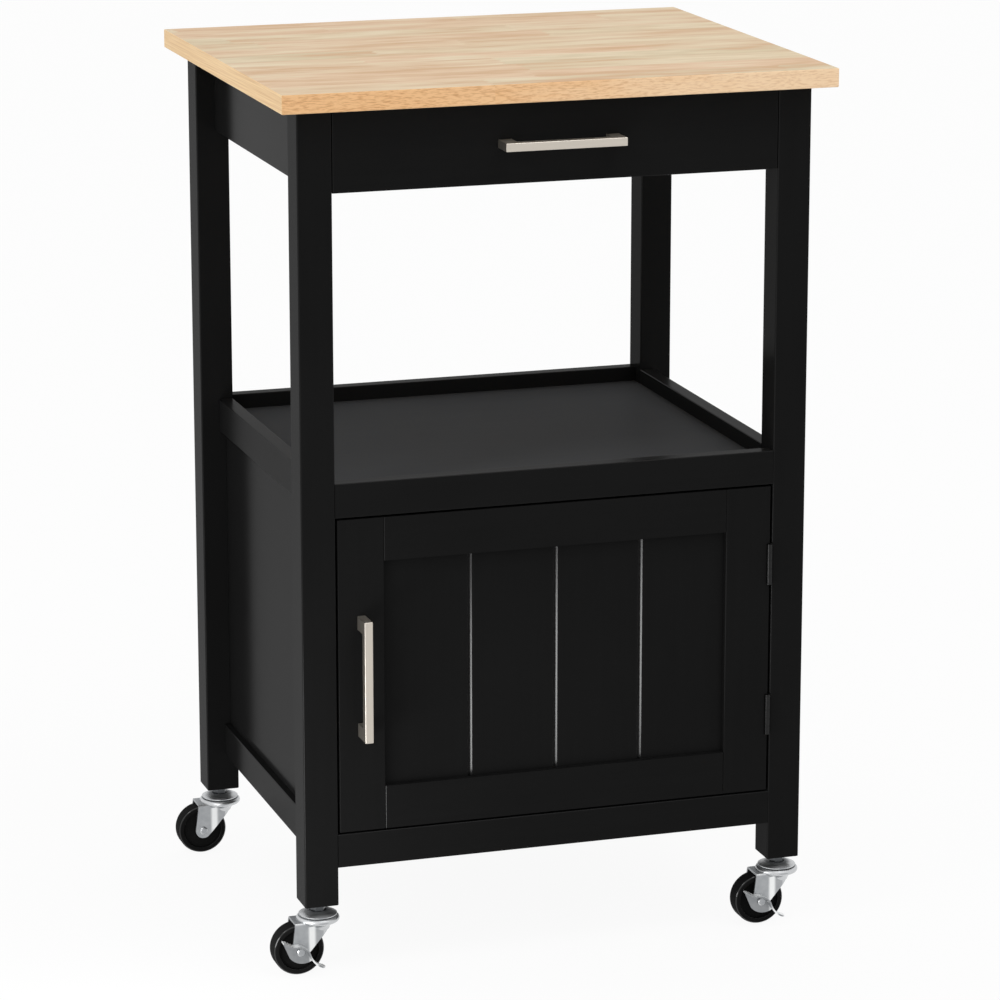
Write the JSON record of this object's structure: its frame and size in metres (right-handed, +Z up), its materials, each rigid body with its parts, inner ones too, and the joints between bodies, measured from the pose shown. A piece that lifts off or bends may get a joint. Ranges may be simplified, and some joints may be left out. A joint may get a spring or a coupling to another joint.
{
  "type": "kitchen cart",
  "caption": "Rolling kitchen cart: wood worktop on square black legs, a drawer under the top, an open tray shelf, a door cabinet below and swivel casters.",
  "frame": {"origin": "on the floor, under the middle of the four legs", "axes": "+Z up, +Y towards the back, +X to the right seen from the front"},
  "size_m": [0.5505, 0.454, 0.85],
  "materials": {
    "butcher_block": "clear oiled rubberwood staves",
    "black_painted_wood": "satin black paint",
    "drawer_wood": "plain sanded wood",
    "satin_nickel": "brushed satin nickel",
    "zinc_steel": "bright zinc plate",
    "black_wheel": "moulded black plastic",
    "black_hinge_steel": "black lacquer",
    "catch_plastic": "moulded plastic"
  },
  "bodies": {
    "cart": {"worktop": "butcher_block", "leg_front_left": "black_painted_wood", "leg_front_right": "black_painted_wood", "leg_rear_left": "black_painted_wood", "leg_rear_right": "black_painted_wood", "apron_left": "black_painted_wood", "apron_right": "black_painted_wood", "apron_back": "black_painted_wood", "tray_rail_front": "black_painted_wood", "tray_rail_back": "black_painted_wood", "tray_rail_left": "black_painted_wood", "tray_rail_right": "black_painted_wood", "lower_rail_front": "black_painted_wood", "lower_rail_back": "black_painted_wood", "lower_rail_left": "black_painted_wood", "lower_rail_right": "black_painted_wood", "tray_floor": "black_painted_wood", "cabinet_floor": "black_painted_wood", "side_panel_left": "black_painted_wood", "side_panel_right": "black_painted_wood", "back_panel": "black_painted_wood", "drawer_runner_left": "drawer_wood", "drawer_runner_right": "drawer_wood", "magnetic_catch": "catch_plastic", "hinge_frame_leaves": "black_hinge_steel", "hinge_pins": "black_hinge_steel", "caster_stem_front_left": "zinc_steel", "caster_stem_front_right": "zinc_steel", "caster_stem_rear_left": "zinc_steel", "caster_stem_rear_right": "zinc_steel"},
    "drawer": {"drawer_front": "black_painted_wood", "drawer_side_left": "drawer_wood", "drawer_side_right": "drawer_wood", "drawer_back": "drawer_wood", "drawer_bottom": "drawer_wood", "drawer_handle": "satin_nickel", "drawer_handle_screws": "zinc_steel"},
    "door": {"door_stile_left": "black_painted_wood", "door_stile_right": "black_painted_wood", "door_rail_top": "black_painted_wood", "door_rail_bottom": "black_painted_wood", "door_panel": "black_painted_wood", "door_handle": "satin_nickel", "door_handle_screws": "zinc_steel", "hinge_door_leaves": "black_hinge_steel", "strike_plate": "zinc_steel"},
    "caster_front_left": {"caster_fork_front_left": "zinc_steel", "caster_axle_front_left": "zinc_steel"},
    "wheel_front_left": {"caster_wheel_front_left": "black_wheel"},
    "brake_front_left": {"brake_lever_front_left": "zinc_steel"},
    "caster_front_right": {"caster_fork_front_right": "zinc_steel", "caster_axle_front_right": "zinc_steel"},
    "wheel_front_right": {"caster_wheel_front_right": "black_wheel"},
    "brake_front_right": {"brake_lever_front_right": "zinc_steel"},
    "caster_rear_left": {"caster_fork_rear_left": "zinc_steel", "caster_axle_rear_left": "zinc_steel"},
    "wheel_rear_left": {"caster_wheel_rear_left": "black_wheel"},
    "caster_rear_right": {"caster_fork_rear_right": "zinc_steel", "caster_axle_rear_right": "zinc_steel"},
    "wheel_rear_right": {"caster_wheel_rear_right": "black_wheel"}
  },
  "joints": [
    {"name": "drawer_slide", "type": "slide", "parent": "cart", "child": "drawer", "axis": [0, -1, 0], "range_m": [0, 0.26]},
    {"name": "door_hinge", "type": "hinge", "parent": "cart", "child": "door", "pos_m": [0.2154, -0.2065, 0.2935], "axis": [0, 0, 1], "range_deg": [0, 170]},
    {"name": "swivel_front_left", "type": "hinge", "parent": "cart", "child": "caster_front_left", "pos_m": [-0.2345, -0.189, 0.056], "axis": [0, 0, 1], "continuous": true},
    {"name": "spin_front_left", "type": "hinge", "parent": "caster_front_left", "child": "wheel_front_left", "pos_m": [-0.2555, -0.189, 0.025], "axis": [0, 1, 0], "continuous": true},
    {"name": "brake_rock_front_left", "type": "hinge", "parent": "caster_front_left", "child": "brake_front_left", "pos_m": [-0.2555, -0.189, 0.025], "axis": [0, -1, 0], "range_deg": [0, 30]},
    {"name": "swivel_front_right", "type": "hinge", "parent": "cart", "child": "caster_front_right", "pos_m": [0.2345, -0.189, 0.056], "axis": [0, 0, 1], "continuous": true},
    {"name": "spin_front_right", "type": "hinge", "parent": "caster_front_right", "child": "wheel_front_right", "pos_m": [0.2135, -0.189, 0.025], "axis": [0, 1, 0], "continuous": true},
    {"name": "brake_rock_front_right", "type": "hinge", "parent": "caster_front_right", "child": "brake_front_right", "pos_m": [0.2135, -0.189, 0.025], "axis": [0, -1, 0], "range_deg": [0, 30]},
    {"name": "swivel_rear_left", "type": "hinge", "parent": "cart", "child": "caster_rear_left", "pos_m": [-0.2345, 0.189, 0.056], "axis": [0, 0, 1], "continuous": true},
    {"name": "spin_rear_left", "type": "hinge", "parent": "caster_rear_left", "child": "wheel_rear_left", "pos_m": [-0.2555, 0.189, 0.025], "axis": [0, 1, 0], "continuous": true},
    {"name": "swivel_rear_right", "type": "hinge", "parent": "cart", "child": "caster_rear_right", "pos_m": [0.2345, 0.189, 0.056], "axis": [0, 0, 1], "continuous": true},
    {"name": "spin_rear_right", "type": "hinge", "parent": "caster_rear_right", "child": "wheel_rear_right", "pos_m": [0.2135, 0.189, 0.025], "axis": [0, 1, 0], "continuous": true}
  ]
}
